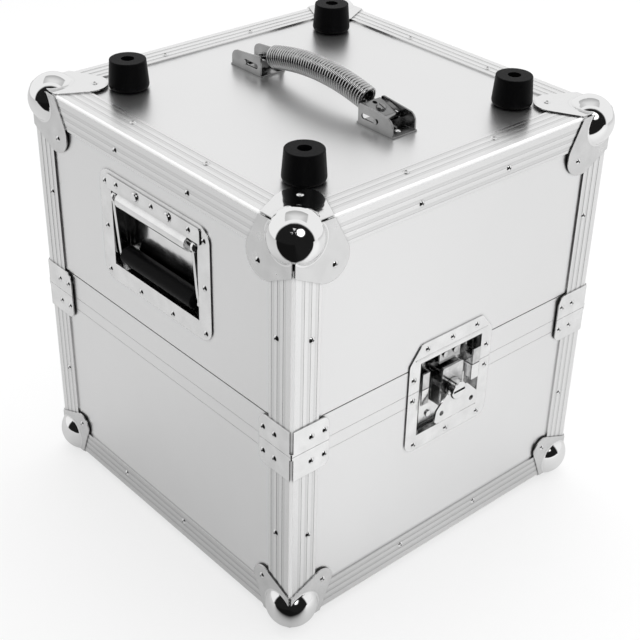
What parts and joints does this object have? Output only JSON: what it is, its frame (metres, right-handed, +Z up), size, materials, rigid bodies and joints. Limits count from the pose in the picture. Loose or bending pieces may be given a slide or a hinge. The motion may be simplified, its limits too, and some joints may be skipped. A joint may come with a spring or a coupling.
{
  "type": "record carrying case",
  "caption": "Cube-shaped flight case for records: metal-faced panels, edge profiles, ball corners, lift-off lid with butterfly latches, spring side handles and a strap handle on top.",
  "frame": {"origin": "under the middle of the case, on the plane of the lower ball corners", "axes": "+Z up, front latch towards -Y, a recessed handle on -X and on +X, carry grip along Y"},
  "size_m": [0.389, 0.391, 0.442],
  "materials": {
    "laminated_ply": "plywood faced with satin grey metal laminate",
    "aluminium_profile": "satin anodised extrusion",
    "plated_steel": "bright zinc plate",
    "plated_mechanism": "zinc-plated pressed steel",
    "spring_steel": "bright nickel plate",
    "rubber": "matt moulded rubber",
    "foam": "closed-cell foam sheet"
  },
  "bodies": {
    "base": {"back_latch_dish": "plated_steel", "back_latch_frame": "plated_mechanism", "base_back_panel": "laminated_ply", "base_ball_corners": "plated_steel", "base_bottom_panel": "laminated_ply", "base_closing_profile": "aluminium_profile", "base_corner_posts": "aluminium_profile", "base_corner_rivets": "plated_steel", "base_dish_rivets": "plated_steel", "base_edge_profiles": "aluminium_profile", "base_edge_rivets": "plated_steel", "base_foam_lining": "foam", "base_front_panel": "laminated_ply", "base_left_panel": "laminated_ply", "base_right_panel": "laminated_ply", "base_split_braces": "plated_steel", "front_latch_dish": "plated_steel", "front_latch_frame": "plated_mechanism"},
    "lid": {"back_keeper": "plated_mechanism", "back_keeper_dish": "plated_steel", "carry_brackets": "plated_steel", "foot_screws": "plated_steel", "front_keeper": "plated_mechanism", "front_keeper_dish": "plated_steel", "handle_rivets": "plated_steel", "left_handle_dish": "plated_steel", "left_handle_spring": "spring_steel", "left_hinge_plate": "plated_steel", "lid_back_panel": "laminated_ply", "lid_ball_corners": "plated_steel", "lid_closing_profile": "aluminium_profile", "lid_corner_posts": "aluminium_profile", "lid_corner_rivets": "plated_steel", "lid_dish_rivets": "plated_steel", "lid_edge_profiles": "aluminium_profile", "lid_edge_rivets": "plated_steel", "lid_foam_lining": "foam", "lid_front_panel": "laminated_ply", "lid_left_panel": "laminated_ply", "lid_right_panel": "laminated_ply", "lid_split_braces": "plated_steel", "lid_top_panel": "laminated_ply", "right_handle_dish": "plated_steel", "right_handle_spring": "spring_steel", "right_hinge_plate": "plated_steel", "rubber_feet": "rubber"},
    "back_hook": {"back_latch_hook": "plated_mechanism"},
    "back_rotor": {"back_latch_rotor": "plated_mechanism"},
    "back_wing": {"back_latch_wing": "plated_mechanism"},
    "carry_grip": {"carry_coil": "spring_steel", "carry_strap": "spring_steel"},
    "front_end": {"front_carry_end": "plated_steel"},
    "front_hook": {"front_latch_hook": "plated_mechanism"},
    "front_rotor": {"front_latch_rotor": "plated_mechanism"},
    "front_wing": {"front_latch_wing": "plated_mechanism"},
    "left_handle": {"left_handle_bail": "plated_steel", "left_handle_grip": "rubber"},
    "rear_end": {"rear_carry_end": "plated_steel"},
    "right_handle": {"right_handle_bail": "plated_steel", "right_handle_grip": "rubber"}
  },
  "joints": [
    {"name": "lid_lift", "type": "slide", "parent": "base", "child": "lid", "axis": [0, 0, 1], "range_m": [0, 0.2]},
    {"name": "left_handle_swing", "type": "hinge", "parent": "lid", "child": "left_handle", "pos_m": [-0.182, 0, 0.34], "axis": [0, 1, 0], "range_deg": [0, 90], "stiffness_Nm_per_rad": 0.25, "springref_deg": -28.65},
    {"name": "right_handle_swing", "type": "hinge", "parent": "lid", "child": "right_handle", "pos_m": [0.182, 0, 0.34], "axis": [0, -1, 0], "range_deg": [0, 90], "stiffness_Nm_per_rad": 0.25, "springref_deg": -28.65},
    {"name": "carry_handle_rise", "type": "slide", "parent": "lid", "child": "carry_grip", "axis": [0, 0, 1], "range_m": [0, 0.012], "deforming": ["carry_strap"]},
    {"name": "front_end_slide", "type": "slide", "parent": "lid", "child": "front_end", "axis": [0, 1, 0], "range_m": [0, 0.003]},
    {"name": "rear_end_slide", "type": "slide", "parent": "lid", "child": "rear_end", "axis": [0, -1, 0], "range_m": [0, 0.003]},
    {"name": "front_rotor_turn", "type": "hinge", "parent": "base", "child": "front_rotor", "pos_m": [0, -0.183, 0.19], "axis": [0, -1, 0], "range_deg": [0, 180]},
    {"name": "front_wing_fold", "type": "hinge", "parent": "front_rotor", "child": "front_wing", "pos_m": [0, -0.1926, 0.19], "axis": [-1, 0, 0], "range_deg": [0, 90]},
    {"name": "front_hook_slide", "type": "slide", "parent": "base", "child": "front_hook", "axis": [0, 0, 1], "range_m": [0, 0.008]},
    {"name": "back_rotor_turn", "type": "hinge", "parent": "base", "child": "back_rotor", "pos_m": [0, 0.183, 0.19], "axis": [0, 1, 0], "range_deg": [0, 180]},
    {"name": "back_wing_fold", "type": "hinge", "parent": "back_rotor", "child": "back_wing", "pos_m": [0, 0.1926, 0.19], "axis": [1, 0, 0], "range_deg": [0, 90]},
    {"name": "back_hook_slide", "type": "slide", "parent": "base", "child": "back_hook", "axis": [0, 0, 1], "range_m": [0, 0.008]}
  ],
  "couplings": [
    {"joint": "front_end_slide", "follows": "carry_handle_rise", "ratio": 0.25},
    {"joint": "rear_end_slide", "follows": "carry_handle_rise", "ratio": 0.25},
    {"joint": "front_hook_slide", "follows": "front_rotor_turn", "m_per_rad": 0.0025464},
    {"joint": "back_hook_slide", "follows": "back_rotor_turn", "m_per_rad": 0.0025464}
  ]
}
